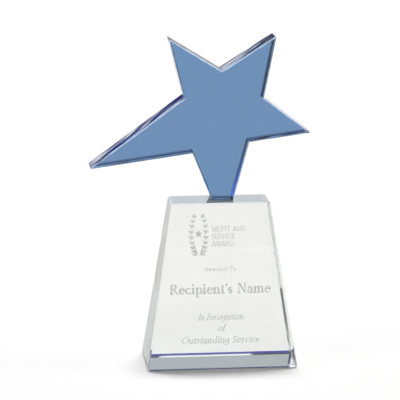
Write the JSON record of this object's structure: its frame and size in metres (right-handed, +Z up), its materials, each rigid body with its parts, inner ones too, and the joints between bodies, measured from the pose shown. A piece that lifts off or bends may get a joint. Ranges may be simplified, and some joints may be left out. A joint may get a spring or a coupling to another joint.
{
  "type": "crystal award",
  "caption": "Free-standing award: a thick, solid blue crystal shooting-star plate bonded by its foot to the top of a clear, tapered crystal block with polished bevels.",
  "frame": {"origin": "middle of the block's flat underside, on the surface that the award stands on", "axes": "+Z up; the award faces -Y; its long arm points to -X, the viewer's left"},
  "size_m": [0.1684, 0.0576, 0.254],
  "materials": {
    "clear_crystal": "solid clear optical crystal, polished on every face and bevel; the inscription on the front face is etched to a fine frost",
    "clear_adhesive": "cured clear adhesive film, glossy",
    "blue_crystal": "solid crystal tinted steel blue right through, polished on every face and bevel"
  },
  "bodies": {
    "root": {"base_block": "clear_crystal", "bond_film": "clear_adhesive", "star_plate": "blue_crystal"}
  },
  "joints": []
}
